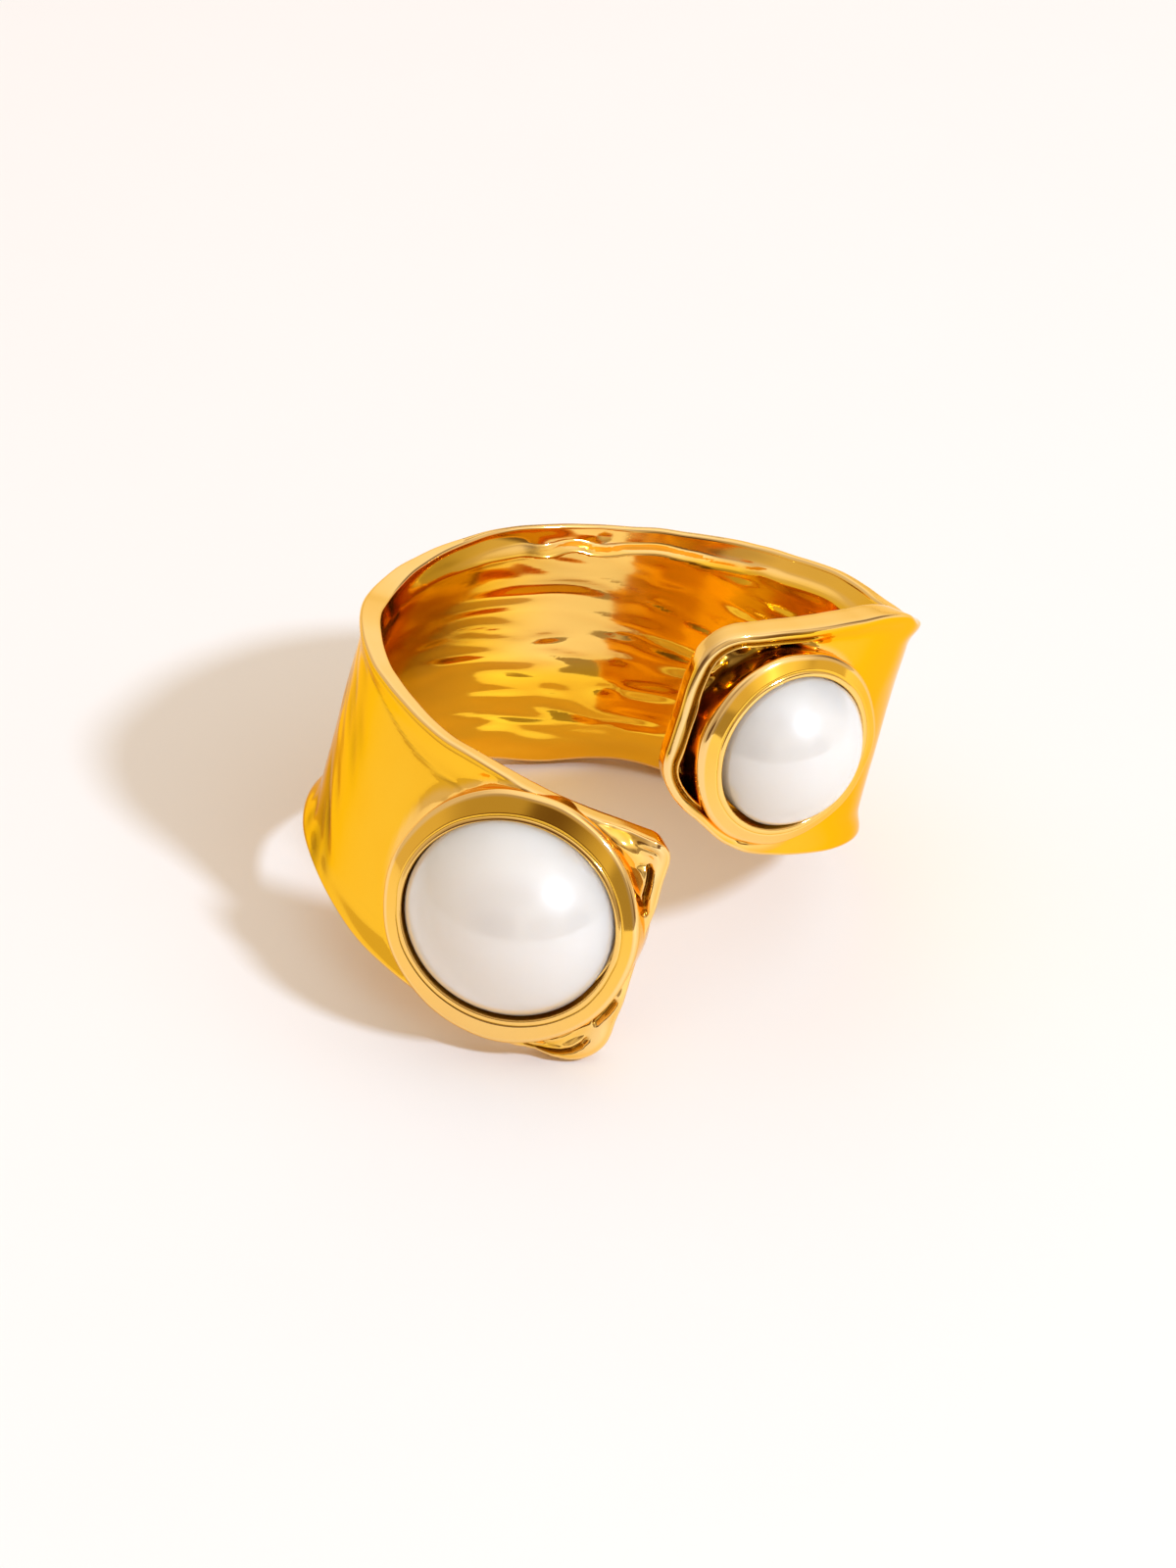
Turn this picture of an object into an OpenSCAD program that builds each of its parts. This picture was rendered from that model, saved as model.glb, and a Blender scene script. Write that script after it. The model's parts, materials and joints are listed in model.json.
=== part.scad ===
// Open pearl ring. A wide band of polished metal goes once round the finger and climbs along it
// like one turn of a coil, so that its two ends pass each other without touching. Each end carries
// a half pearl in a soldered collar. Sizes are in millimetres.
// The ring is drawn round the finger, which runs along Z with the pearls at the front, on the -Y
// side. It is then leant over the way it comes to rest on a table.

/* [Band] */
// Inside diameter, where the finger goes
finger_d = 17.4; // [16:0.1:20]
// Thickness of the metal between its lips
metal_t = 0.85; // [0.75:0.05:1.1]
// Width of the rolled lip that follows every edge
lip_w = 1.15; // [0.9:0.05:1.3]
// How far the inside edge is eased away from the finger
ease_h = 0.32; // [0.1:0.02:0.4]
// Width of that easing
ease_w = 0.6; // [0.4:0.05:1]
// Radius of the rounded metal edge
edge_r = 0.38; // [0.2:0.02:0.4]

// Lean of the band's ends round the finger, in degrees for each mm of height
end_lean = 0.3; // [0:0.05:0.3]

/* [Large pearl] */
// Diameter of the larger pearl
large_d = 7.6; // [7:0.1:7.8]
// Outside diameter of its collar
large_collar_d = 9.15; // [9:0.05:9.3]
// Angle of its collar round the finger
large_angle = 260.5; // [258:0.5:261]
// Height of its collar along the finger
large_z = -4.35; // [-5:0.05:-4]

/* [Small pearl] */
// Diameter of the smaller pearl
small_d = 6.1; // [5.7:0.1:6.2]
// Outside diameter of its collar
small_collar_d = 7.4; // [7.2:0.05:7.8]
// Angle of its collar round the finger
small_angle = -52.5; // [-55:0.5:-48]
// Height of its collar along the finger
small_z = 3.7; // [3.5:0.05:4]

/* [Collars] */
// Height of a collar's lip over the inside of the band
collar_h = 1.8; // [1.7:0.05:2]
// Height over the inside of the band at which the collar starts to slope in
shoulder_h = 1.2; // [1:0.05:1.4]
// Thickness of a collar's wall at its lip
collar_lip_t = 0.2; // [0.15:0.01:0.3]
// Gap between a pearl and its collar
pearl_gap = 0.08; // [0.04:0.01:0.1]
// Height of a pearl's flat back over the inside of the band
seat_h = 0.55; // [0.5:0.05:0.7]
// How far a pearl's centre lies under its collar's lip
pearl_sink = 1.1; // [1:0.05:1.2]

/* [At rest] */
// Lean of the finger's axis to the back
lean_back = 14.6; // [0:0.1:20]
// Lean of the finger's axis to the right
lean_right = 10.75; // [0:0.05:20]

/* [Hidden] */
finger_r = finger_d / 2;

// Rows of the band, from the small pearl's end round the back to the large pearl's end.
// Columns: angle round the finger, height of the lower edge, height of the upper edge,
// gap between finger and metal, height of the rolled lip
STATIONS = [
    [-77.5,  1.4, 7.8, 0.40, 0.45],
    [-68,    0.8, 7.9, 0.25, 0.45],
    [-58,   -0.2, 8.1, 0.10, 0.45],
    [-42,   -0.7, 8.5, 0.00, 0.40],
    [-26,   -0.9, 8.4, 0.00, 0.30],
    [ -8,   -1.2, 7.3, 0.00, 0.25],
    [ 20,   -2.2, 6.2, 0.00, 0.35],
    [ 48,   -3.2, 5.8, 0.00, 0.40],
    [ 68,   -4.0, 5.3, 0.00, 0.40],
    [ 87,   -4.3, 4.8, 0.00, 0.40],
    [106,   -5.1, 4.25, 0.00, 0.45],
    [124,   -5.4, 3.85, 0.00, 0.45],
    [145,   -5.6, 3.2, 0.00, 0.45],
    [170,   -6.0, 2.3, 0.00, 0.45],
    [190,   -6.4, 2.2, 0.00, 0.45],
    [210,   -7.0, 1.7, 0.00, 0.50],
    [235,   -8.1, 1.0, 0.00, 0.45],
    [260,   -8.9, 0.4, 0.00, 0.40],
    [275,   -9.2, 0.0, 0.20, 0.45],
    [288.8, -9.2, -0.3, 0.45, 0.45]
];
GAP = 3;
LIP = 4;

first_angle = STATIONS[0][0];
last_angle = STATIONS[len(STATIONS) - 1][0];
// Corner radii of the band's ends: lower and upper corner, small pearl's end then large pearl's
CORNERS = [[1.6, 1.5], [1.3, 0.8]];
// Distances in from an edge at which the lip's curve is drawn
STEPS = [0, 0.04, 0.12, 0.24, 0.38, 0.6, 0.85, 1.15];
// Distances in from an end at which the rounded corners are drawn
END_STEPS = concat(STEPS, [1.5, 2]);
// Angle between sections along the plain part of the band
pitch = 5;
// Radius along which distances round the band are measured
middle_r = finger_r + metal_t / 2;
// Metal left on the inside of the band, which the round finger hole is then cut from
spare = 0.1;
mm_per_deg = middle_r * PI / 180;
// Reach of a collar's foot towards the finger, before the foot is cut off inside the band's metal
foot_reach = finger_r / 2;
// Length of the round cutters, longer than the ring
cutter_len = 40;
// Sides that a drawn circle has: the pearls and collars, and the finger hole
pearl_sides = 96;
hole_sides = 180;

// Smooth curve through one column of the rows
function row_below(a) = max([for (i = [0:len(STATIONS) - 2]) if (i == 0 || STATIONS[i][0] <= a) i]);
function rise(i, c) =
    let (lo = max(i - 1, 0), hi = min(i + 1, len(STATIONS) - 1))
    (STATIONS[hi][c] - STATIONS[lo][c]) / (STATIONS[hi][0] - STATIONS[lo][0]);
function along(a, c) =
    let (i = row_below(a), p = STATIONS[i], q = STATIONS[i + 1],
         w = q[0] - p[0], t = (a - p[0]) / w)
    p[c] * (1 + 2 * t) * (1 - t) * (1 - t) + q[c] * t * t * (3 - 2 * t)
    + rise(i, c) * w * t * (1 - t) * (1 - t) + rise(i + 1, c) * w * t * t * (t - 1);

// Distance in from the band's outline, with its rounded corners
function inset(s, r) = s < r ? r - sqrt(r * r - (r - s) * (r - s)) : 0;
function in_from_edge(s, d, r) = s < r && d < r ? max(r - norm([r - s, r - d]), 0) : min(s, d);

// The metal's outer and inner face at a distance in from the outline
function fall(x) = x < 1 ? (1 - x) * (1 - x) * (1 + 2 * x) : 0;
function rounding(t) = t < edge_r ? edge_r - sqrt(edge_r * edge_r - (edge_r - t) * (edge_r - t)) : 0;
function outer_face(t, lip) = metal_t + lip * fall(t / lip_w) - rounding(t);
function inner_face(t) = ease_h * fall(t / ease_w) + rounding(t) - spare;

function polar(r, a, z) = [r * cos(a), r * sin(a), z];
function leant(a, z, low, high) = a + end_lean * (z - (low + high) / 2);

// One section: its inner points from the lower to the upper edge, then its outer points back down
function section(a) =
    let (from_first = (a - first_angle) * mm_per_deg, from_last = (last_angle - a) * mm_per_deg,
         corner = CORNERS[from_first < from_last ? 0 : 1], s = max(min(from_first, from_last), 0),
         low = along(a, 1), high = along(a, 2), r = finger_r + along(a, GAP), lip = along(a, LIP),
         d_low = inset(s, corner[0]), d_high = inset(s, corner[1]), n = len(STEPS),
         rows = concat(
            [for (d = STEPS) [low + d_low + d, in_from_edge(s, d_low + d, corner[0])]],
            [[(low + d_low + high - d_high) / 2, min(s, lip_w)]],
            [for (i = [n - 1:-1:0]) let (d = d_high + STEPS[i]) [high - d, in_from_edge(s, d, corner[1])]]))
    concat(
        [for (p = rows) polar(r + inner_face(p[1]), leant(a, p[0], low, high), p[0])],
        [for (i = [len(rows) - 1:-1:0]) let (p = rows[i])
            polar(r + outer_face(p[1], lip), leant(a, p[0], low, high), p[0])]);

// Angles of the sections: close together at both ends, evenly spaced between
end_reach = END_STEPS[len(END_STEPS) - 1] / mm_per_deg;
plain_count = round((last_angle - first_angle - 2 * end_reach) / pitch);
plain_step = (last_angle - first_angle - 2 * end_reach) / plain_count;
angles = concat(
    [for (d = END_STEPS) first_angle + d / mm_per_deg],
    [for (i = [1:plain_count - 1]) first_angle + end_reach + i * plain_step],
    [for (i = [len(END_STEPS) - 1:-1:0]) last_angle - END_STEPS[i] / mm_per_deg]);
sections = [for (a = angles) section(a)];
sheet_points = [for (s = sections) each s];

// Leans a point of the ring as the ring leans on the table
function leaning(p) =
    let (y = p[1] * cos(lean_back) + p[2] * sin(lean_back),
         z = p[2] * cos(lean_back) - p[1] * sin(lean_back))
    [p[0] * cos(lean_right) + z * sin(lean_right), y, z * cos(lean_right) - p[0] * sin(lean_right)];

// The leaning ring's reach: the band on every side but the front, where the large pearl is
sheet_leaning = [for (p = sheet_points) leaning(p)];
xs = [for (p = sheet_leaning) p[0]];
ys = [for (p = sheet_leaning) p[1]];
zs = [for (p = sheet_leaning) p[2]];
pearl_r = finger_r + collar_h - pearl_sink;
front_y = leaning(polar(pearl_r, large_angle, large_z))[1] - large_d / 2;
set_down = [-(min(xs) + max(xs)) / 2, -(front_y + max(ys)) / 2, -min(zs)];

// Leans the ring and sets it down on the table, with the middle of its box over the origin
module at_rest() {
    translate(set_down) rotate([-lean_back, lean_right, 0]) children();
}

module sheet() {
    m = len(sections[0]);
    half = m / 2;
    last = (len(sections) - 1) * m;
    sides = [for (i = [0:len(sections) - 2], j = [0:m - 1])
        [i * m + j, i * m + (j + 1) % m, (i + 1) * m + (j + 1) % m, (i + 1) * m + j]];
    first_end = [for (j = [0:half - 2]) [j + 1, j, m - 1 - j, m - 2 - j]];
    last_end = [for (j = [0:half - 2]) [last + j, last + j + 1, last + m - 2 - j, last + m - 1 - j]];
    quads = concat(sides, first_end, last_end);
    polyhedron(sheet_points, [for (q = quads) each [[q[0], q[2], q[1]], [q[0], q[3], q[2]]]]);
}

// Places children on the band, with +Z pointing away from the finger's axis
module on_band(a, z) {
    translate([0, 0, z]) rotate([0, 0, a]) rotate([0, 90, 0]) translate([0, 0, finger_r]) children();
}

// A half pearl, or with a gap the hollow that it sits in
module pearl(d, gap = 0) {
    intersection() {
        translate([0, 0, collar_h - pearl_sink]) sphere(d = d + 2 * gap, $fn = pearl_sides);
        translate([0, 0, seat_h - gap]) cylinder(h = d, r = d, $fn = pearl_sides);
    }
}

// A collar before it is hollowed: a straight foot, then a slope up to the lip round the pearl
module collar(outer_d, d) {
    mouth_r = sqrt(pow(d / 2 + pearl_gap, 2) - pow(pearl_sink, 2));
    rotate_extrude($fn = pearl_sides)
        polygon([[0, -foot_reach], [outer_d / 2, -foot_reach], [outer_d / 2, shoulder_h],
                 [mouth_r + collar_lip_t, collar_h], [0, collar_h]]);
}

// Both collars, cut off inside the band's metal
module collars() {
    difference() {
        union() {
            on_band(large_angle, large_z) collar(large_collar_d, large_d);
            on_band(small_angle, small_z) collar(small_collar_d, small_d);
        }
        finger_cutter(middle_r);
    }
}

module finger_cutter(r) {
    cylinder(h = cutter_len, r = r, center = true, $fn = hole_sides);
}

module band() {
    color("gold") at_rest() difference() {
        union() {
            sheet();
            collars();
        }
        finger_cutter(finger_r);
        on_band(large_angle, large_z) pearl(large_d, pearl_gap);
        on_band(small_angle, small_z) pearl(small_d, pearl_gap);
    }
}

module large_pearl() {
    color("white") at_rest() on_band(large_angle, large_z) pearl(large_d);
}

module small_pearl() {
    color("white") at_rest() on_band(small_angle, small_z) pearl(small_d);
}

band();
large_pearl();
small_pearl();
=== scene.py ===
# An open ring in polished, hand-worked gold, lying on a table. A wide band goes once round the
# finger and climbs like one turn of a coil. Each end carries a half pearl in a sloping collar.
# The ring's own frame has Z along the finger and the pearls on its -Y side. Its sizes are in
# millimetres. They are turned into metres, and leant over as the frame's finger hole leans, when
# a piece's mesh is made.
import json
import math

import bpy
import numpy as np
from mathutils import Matrix, Vector


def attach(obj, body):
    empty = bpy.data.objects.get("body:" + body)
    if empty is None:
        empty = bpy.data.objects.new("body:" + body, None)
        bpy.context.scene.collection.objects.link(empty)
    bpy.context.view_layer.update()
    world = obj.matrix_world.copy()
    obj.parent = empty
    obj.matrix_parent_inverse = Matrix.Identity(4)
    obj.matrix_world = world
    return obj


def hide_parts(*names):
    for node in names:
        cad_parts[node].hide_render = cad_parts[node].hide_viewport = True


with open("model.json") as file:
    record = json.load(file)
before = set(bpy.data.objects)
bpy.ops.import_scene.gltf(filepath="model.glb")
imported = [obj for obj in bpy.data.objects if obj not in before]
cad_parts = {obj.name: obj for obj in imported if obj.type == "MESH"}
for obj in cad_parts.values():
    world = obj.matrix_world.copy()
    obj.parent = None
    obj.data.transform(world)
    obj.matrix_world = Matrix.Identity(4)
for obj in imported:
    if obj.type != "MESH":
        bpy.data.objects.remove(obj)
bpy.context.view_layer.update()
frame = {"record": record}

MM = 0.001
HOLE = frame["record"]["mounts"][0]
FINGER_R = HOLE["dims"]["r_mm"]

# The band's metal: its thickness, the least that cuts leave of it, and the rounding of its edges
METAL_T = 0.85
LEAST_T = 0.2
EDGE_R = 0.13
# Radius of the middle of the metal, and how long a degree is along it
MIDDLE_R = FINGER_R + METAL_T / 2
MM_PER_DEG = math.radians(MIDDLE_R)
# Corner radii of the band's ends: lower and upper corner, small pearl's end then large pearl's
CORNERS = ((1.6, 1.5), (1.3, 0.8))
# How far each section leans onwards round the finger, in degrees for each millimetre of height
LEAN = 0.3

# Rows of the band, from the small pearl's end round the back to the large pearl's end.
# Columns: angle round the finger, height of the lower edge, height of the upper edge,
# gap between finger and metal, how much thinner the metal is, rise of the lower lip,
# rise of the upper lip, opening-out of the upper edge's inside, how far that opening is a ledge,
# width over which the ledge falls away
STATIONS = np.array([
    [-77.5, 1.4, 7.8, 0.40, 0.00, 0.45, 0.45, 0.05, 0.0, 0.30],
    [-68, 0.8, 7.9, 0.25, 0.00, 0.45, 0.45, 0.05, 0.0, 0.30],
    [-58, -0.2, 8.1, 0.10, 0.00, 0.40, 0.42, 0.05, 0.0, 0.30],
    [-42, -0.7, 8.5, 0.00, 0.00, 0.25, 0.36, 0.08, 0.0, 0.30],
    [-26, -0.9, 8.4, 0.00, 0.00, 0.20, 0.32, 0.15, 0.1, 0.30],
    [-8, -1.2, 7.35, 0.00, 0.00, 0.20, 0.25, 0.28, 0.2, 0.40],
    [20, -2.2, 6.3, 0.00, 0.00, 0.30, 0.14, 0.42, 0.35, 0.36],
    [48, -3.2, 6.0, 0.00, 0.00, 0.35, 0.06, 0.48, 0.6, 0.36],
    [68, -4.0, 5.55, 0.00, 0.00, 0.40, 0.05, 0.48, 0.9, 0.30],
    [87, -4.3, 5.05, 0.00, 0.00, 0.40, 0.05, 0.54, 1.0, 0.24],
    [106, -5.1, 4.5, 0.00, 0.00, 0.40, 0.04, 0.60, 1.0, 0.26],
    [124, -5.4, 4.05, 0.00, 0.00, 0.45, 0.02, 0.62, 0.7, 0.34],
    [145, -5.6, 3.25, 0.02, 0.00, 0.45, 0.06, 0.42, 0.1, 0.30],
    [170, -6.0, 2.3, 0.08, 0.00, 0.45, 0.20, 0.20, 0.0, 0.30],
    [190, -6.4, 2.1, 0.16, 0.04, 0.32, 0.20, 0.22, 0.0, 0.30],
    [210, -7.12, 1.52, 0.26, 0.12, 0.12, 0.20, 0.22, 0.0, 0.30],
    [235, -8.32, 0.78, 0.26, 0.18, 0.08, 0.14, 0.20, 0.0, 0.30],
    [252, -8.82, 0.42, 0.12, 0.08, 0.15, 0.24, 0.22, 0.0, 0.30],
    [275, -9.2, 0.0, 0.12, 0.00, 0.36, 0.40, 0.12, 0.0, 0.30],
    [288.8, -9.2, -0.3, 0.25, 0.00, 0.36, 0.36, 0.05, 0.0, 0.30],
])
ANGLE, LOW, HIGH, GAP, THIN, LIP_LOW, LIP_HIGH, EASE, LEDGE, LEDGE_FALL_W = range(10)
FIRST, LAST = STATIONS[0, ANGLE], STATIONS[-1, ANGLE]

# Waves of the lower, the upper and the small pearl's end's outline. Columns: seed, length, height.
# The end's waves are in degrees round the finger, and die away over an angle.
LOW_WAVES = ((21, 1.9, 0.06),)
HIGH_WAVES = ((22, 2.3, 0.05), (23, 1.1, 0.035))
END_WAVES = ((31, 1.1, 0.275),)
END_WAVES_REACH = 12
# How far the lower edge is drawn up from its row
LOW_DRAWN_UP = 0.13
# How far the outside sinks between its edges on the right, and the angles over which that comes and goes
WAIST_H = 0.24
WAIST_SPAN = (-48, -26, -16, 8)

# Opening of the inside near the edges: depth at the lower edge, width of the slope, width of the ledge,
# and the ledge's waves
LOW_EASE = 0.1
EASE_W = 0.75
LEDGE_W = 0.52
LEDGE_WAVES = ((51, 1.1, 0.12),)
# Fine lines under the upper edge, on the side of the large pearl.
# Columns: distance in from the edge, how much farther they are at the end, half width, depth, seed,
# length and height of their waves
CREASES = (
    (0.08, 0.0, 0.04, 0.02, 61, 2.4, 0.05),
    (0.3, 1.1, 0.05, 0.03, 63, 2.4, 0.05),
)
CREASES_SPAN = (165, 180, 242, 262)
# Angles from which and up to which the lines move farther in
CREASES_PART = (185, 250)

# Each pearl and its collar.
# pearl: diameter of the sphere that the pearl's dome is part of
# collar: diameter of the collar
# angle, z: place round the finger and height along it
# sink: how far the sphere's centre lies under the collar's top
# slip: how far the pearl has slipped down the band and round it
# oval: how much wider than round the pearl is, as a share of its radius
# pinch: how far the collar's lip has been pressed in over the pearl
# frame: spread in which the edge of the plate beside the collar is a frame
# hollow: the cut in the plate, its spread, the width of the frame left along the edge, the width
#     and depth of the groove behind the frame, and the depth of the rest
# solders: metal drawn up between collar and plate, as rows of spread, width and height
# A spread is a middle direction and a half angle round the pearl, in degrees. 0 is onwards along
# the band and 90 is up.
LARGE = {
    "pearl": 7.9, "collar": 9.3, "angle": 261.45, "z": -4.36, "sink": 1.5,
    "slip": (-0.08, 0.0), "oval": 0.03, "pinch": 0.1,
    "frame": (5, 95),
    "hollow": {"spread": (-80, 26), "frame_w": 0.34, "groove_w": 0.9, "groove": 0.16, "rest": 0.12},
    "solders": (((0, 180), 0.26, 0.10), ((180, 50), 0.5, 0.16), ((10, 55), 0.45, 0.16)),
}
SMALL = {
    "pearl": 6.16, "collar": 7.34, "angle": -52.0, "z": 3.7, "sink": 1.3,
    "slip": (-0.06, 0.05), "oval": 0.0, "pinch": 0.0,
    "frame": (160, 78),
    "hollow": {"spread": (160, 78), "frame_w": 0.45, "groove_w": 3.0, "groove": 0.62, "rest": 0.62},
    "solders": (((0, 180), 0.22, 0.09), ((-50, 60), 0.5, 0.25)),
}
# Degrees over which a spread fades at both ends
SPREAD_FADE = 14

# The rolled lip: its width, and the power that narrows its fall
LIP_W = 0.95
LIP_POWER = 1.4
# The small plate's frame, in from the edge: a rolled tube, a dark line and a bead. The height of the
# bead and of the floor under both are shares of the lip's height
ROLL_W = 0.18
LINE_W = 0.14
BEAD_HALF_W = (SMALL["hollow"]["frame_w"] - ROLL_W - LINE_W) / 2
BEAD_FOOT_W = 0.03
BEAD_H = 0.75
FRAME_FLOOR = 0.35
# The large plate's frame is a broad tube: how far in its crest lies, how much of its height it loses
# towards the edge and behind the crest, and over what width it does so behind
CREST_AT = 0.42
EDGE_LOSS = 0.45
BACK_LOSS = 0.4
BACK_LOSS_W = 0.7

# How far from the collars the frames and hollows reach, the width over which they fade there,
# and the widths of the steep walls before and behind the groove
HOLLOW_REACH = 2.4
REACH_FADE = 0.8
HOLLOW_WALL = 0.09
GROOVE_BACK_W = 0.12
# Slots in the large plate.
# Columns: angle and height of one end, angle and height of the other end, half width, depth
SLOTS = (
    (283.6, -1.24, 285.4, -1.24, 0.05, 0.12),
    (285.4, -1.24, 286.0, -1.42, 0.07, 0.25),
    (286.0, -1.42, 286.2, -1.9, 0.08, 0.35),
    (286.2, -1.9, 286.3, -2.3, 0.08, 0.35),
    (286.3, -2.3, 286.8, -2.7, 0.07, 0.3),
    (286.8, -2.7, 287.3, -2.95, 0.06, 0.25),
    (283.6, -7.35, 284.8, -6.98, 0.10, 0.2),
    (284.8, -6.98, 286.0, -6.5, 0.11, 0.25),
    (269, -8.76, 271, -8.84, 0.06, 0.15),
    (271, -8.84, 273.5, -8.88, 0.07, 0.25),
    (273.5, -8.88, 276, -8.85, 0.08, 0.3),
    (276, -8.85, 278.5, -8.77, 0.08, 0.3),
    (278.5, -8.77, 280.5, -8.60, 0.08, 0.3),
    (280.5, -8.60, 282, -8.36, 0.07, 0.25),
    (282, -8.36, 282.9, -8.08, 0.06, 0.15),
)
SLOT_WALL = 0.14

# A collar's height above the finger, the gap round the pearl's dome, the extra width of its mouth,
# the gap beside the pearl, and the height of the pearl's back
COLLAR_H = 1.8
PEARL_GAP = 0.09
MOUTH_EXTRA = 0.02
SIDE_GAP = 0.12
SEAT_H = 0.55
# Sides round a collar and a pearl, and rows up the pearl's dome
COLLAR_SIDES = 180
PEARL_SIDES = 96
PEARL_ROWS = 49
# Where a lip is pressed in: direction round the pearl in degrees, half width
PINCH_AT, PINCH_W = 208, 45
# Unevenness of a collar's lip, its wall and its shoulder's height.
# Columns: how fast the wave runs in x and in y across the collar, start, seed, length, height
LIP_WAVES = ((5, 0, 0, 45, 0.9, 0.03),)
WALL_WAVES = ((4, 0, 7, 41, 1.3, 0.03), (0, 4, 7, 42, 1.1, 0.03))
SHOULDER_WAVES = ((4, 0, -5, 43, 1.5, 0.05), (0, 4, 0, 44, 1.5, 0.05))
# The wall: how much narrower its foot is, shares of its height with points, and the share from which
# a hollow's painted shade leaves it
WALL_DRAFT = 0.1
WALL_STEPS = (0, 0.3, 0.6, 0.85)
WALL_UNSHADED_FROM = 0.8
# The shoulder: how far under the top it starts, radius, degrees that it turns and number of points
SHOULDER_DROP = 0.5
SHOULDER_R = 0.26
SHOULDER_TURN = 62
SHOULDER_POINTS = 8
# The slope: shares of its width with points, and how far outside the lip and under the top it ends
SLOPE_STEPS = (0.15, 0.4, 0.65, 0.85, 1)
SLOPE_END_OUT, SLOPE_END_DROP = 0.03, 0.07
# The lip: its width, and its inner roll's radius, drop of the middle, degrees and number of points
COLLAR_LIP_W = 0.2
LIP_ROLL_R = 0.06
LIP_ROLL_DROP = 0.08
LIP_ROLL_TURN = (85, 180)
LIP_ROLL_POINTS = 5
# How much narrower the collar is at the pearl's back than at its mouth
SEAT_DRAFT = 0.1

# Painted highlight, from 0 to 1, which pales the gold where it stands in for bright reflections: the
# collars' walls, shoulders, slopes and lips, the solder, the band's rim, the rim at the small pearl's end,
# the ledge, and the plates' lips and frames.
# A slope's two values are for its side up the band and its side down the band
WALL_HIGHLIGHT = 0.6
SHOULDER_HIGHLIGHT = 0.65
SLOPE_HIGHLIGHT = (0.08, 0.5)
COLLAR_LIP_HIGHLIGHT = 0.45
SOLDER_HIGHLIGHT = 0.35
RIM_HIGHLIGHT = 0.7
END_RIM_HIGHLIGHT = 0.1
LEDGE_HIGHLIGHT = 0.25
PLATE_LIP_HIGHLIGHT = 0.45
FRAME_EXTRA_HIGHLIGHT = 0.3
# Height of the solder at which its painted highlight is full, and degrees from either end over which
# the plates' lips carry painted highlight
SOLDER_FULL = 0.08
HIGHLIGHT_FROM_FIRST, HIGHLIGHT_FROM_LAST = 22, 16
# The ridge of painted highlight beside the ledge: how far in it lies, half width
RIDGE_AT, RIDGE_W = LEDGE_W + 0.05, 0.15
# A zone of painted highlight and a zone of painted shade on the inside, both under the upper edge.
# Columns: angles over which a zone comes and goes, shares of the way up at which it starts and is full,
# how strong it is
PAINTED_HIGHLIGHT_ZONE = ((87, 92, 108, 134), 0.3, 0.5, 0.36)
PAINTED_SHADE_ZONE = ((128, 150, 187, 212), 0.25, 0.65, 0.55)
# Painted shade for each millimetre of depth: hammer marks inside, crumbs in the plates, fine lines,
# ripples and hollows at a collar's wall
HAMMER_SHADE = 3
CRUMBS_SHADE = 8
CREASES_SHADE = 14
RIPPLES_SHADE = 9
WALL_SHADE = 2
# The most painted shade that the inside gets, and the painted shade in the frame's dark line
INSIDE_MOST_SHADE = 0.7
LINE_SHADE = 0.7
# Depths of a hollow at which its painted shade starts and is full, and of a slot at which it is full
HOLLOW_SHADE_FROM, HOLLOW_FULL_SHADE = 0.25, 0.55
SLOT_FULL_SHADE = 0.3
# The line round a collar's lip and the edge of its roll.
# Columns: distance out from the lip, distance under the top, painted highlight, painted shade
LIP_ROWS = ((0.01, 0.1, 0, 0.3), (-0.02, 0.05, COLLAR_LIP_HIGHLIGHT, 0), (-0.05, 0.03, COLLAR_LIP_HIGHLIGHT, 0))
# The mouth under the roll, darker deeper in. Columns: distance under the top, painted highlight, painted
# shade
MOUTH_ROWS = ((0.2, 0.1, 0.3), (0.45, 0, 0.9))

# Deep hammer marks inside the band.
# Columns: angle, height, length, width, depth, tilt in degrees
INSIDE_MARKS = np.array([
    [106, -0.55, 2.0, 0.34, 0.060, -2],
    [112, 0.0, 1.7, 0.30, 0.045, -16],
    [94.5, 0.75, 1.2, 0.30, 0.055, -3],
    [93, -0.25, 0.9, 0.26, 0.045, 0],
    [104, -2.75, 2.2, 0.32, 0.060, 3],
    [107, -2.0, 1.0, 0.28, 0.040, 2],
    [94, -1.5, 1.1, 0.42, 0.060, -6],
    [112, 2.2, 3.2, 0.30, 0.050, -8],
    [121, 1.6, 3.6, 0.32, -0.055, -8],
    [127, 1.05, 3.8, 0.30, 0.050, -8],
    [134, 0.2, 3.0, 0.36, 0.055, -6],
    [136, -1.0, 3.4, 0.40, 0.055, -4],
    [146, -0.3, 2.6, 0.36, 0.050, -10],
    [120, -1.5, 3.0, 0.40, 0.055, -2],
    [122, -2.6, 3.4, 0.36, -0.050, -6],
    [118, -3.3, 3.0, 0.34, 0.050, 0],
    [104, -3.5, 3.2, 0.34, -0.040, 0],
    [84, -1.2, 2.6, 0.42, -0.055, -8],
    [80, 0.7, 3.4, 0.36, 0.050, 4],
    [74, -0.2, 1.6, 0.40, 0.050, -6],
    [86, 2.3, 1.3, 0.28, 0.040, 4],
    [100, 2.5, 2.6, 0.34, -0.045, 3],
    [70, 1.9, 3.0, 0.40, 0.045, 6],
    [62, 3.2, 2.6, 0.36, -0.050, 4],
])
# How much of the inside's marks is left at the very edge, and how far in the edges' own dents reach
MARKS_AT_EDGE = 0.25
EDGE_DENTS_W = 1.6
# Depth of a hollow at which its crumbs are at their full height
CRUMBS_FULL = 0.2
# Share of the band's height that the middles of scattered marks keep clear of each edge
CLEAR_OF_EDGES = 0.04
# Half lengths from its middle beyond which a mark is left out, and a margin for the sections' lean
MARK_REACH = 3
LEAN_MARGIN = 3


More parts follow.
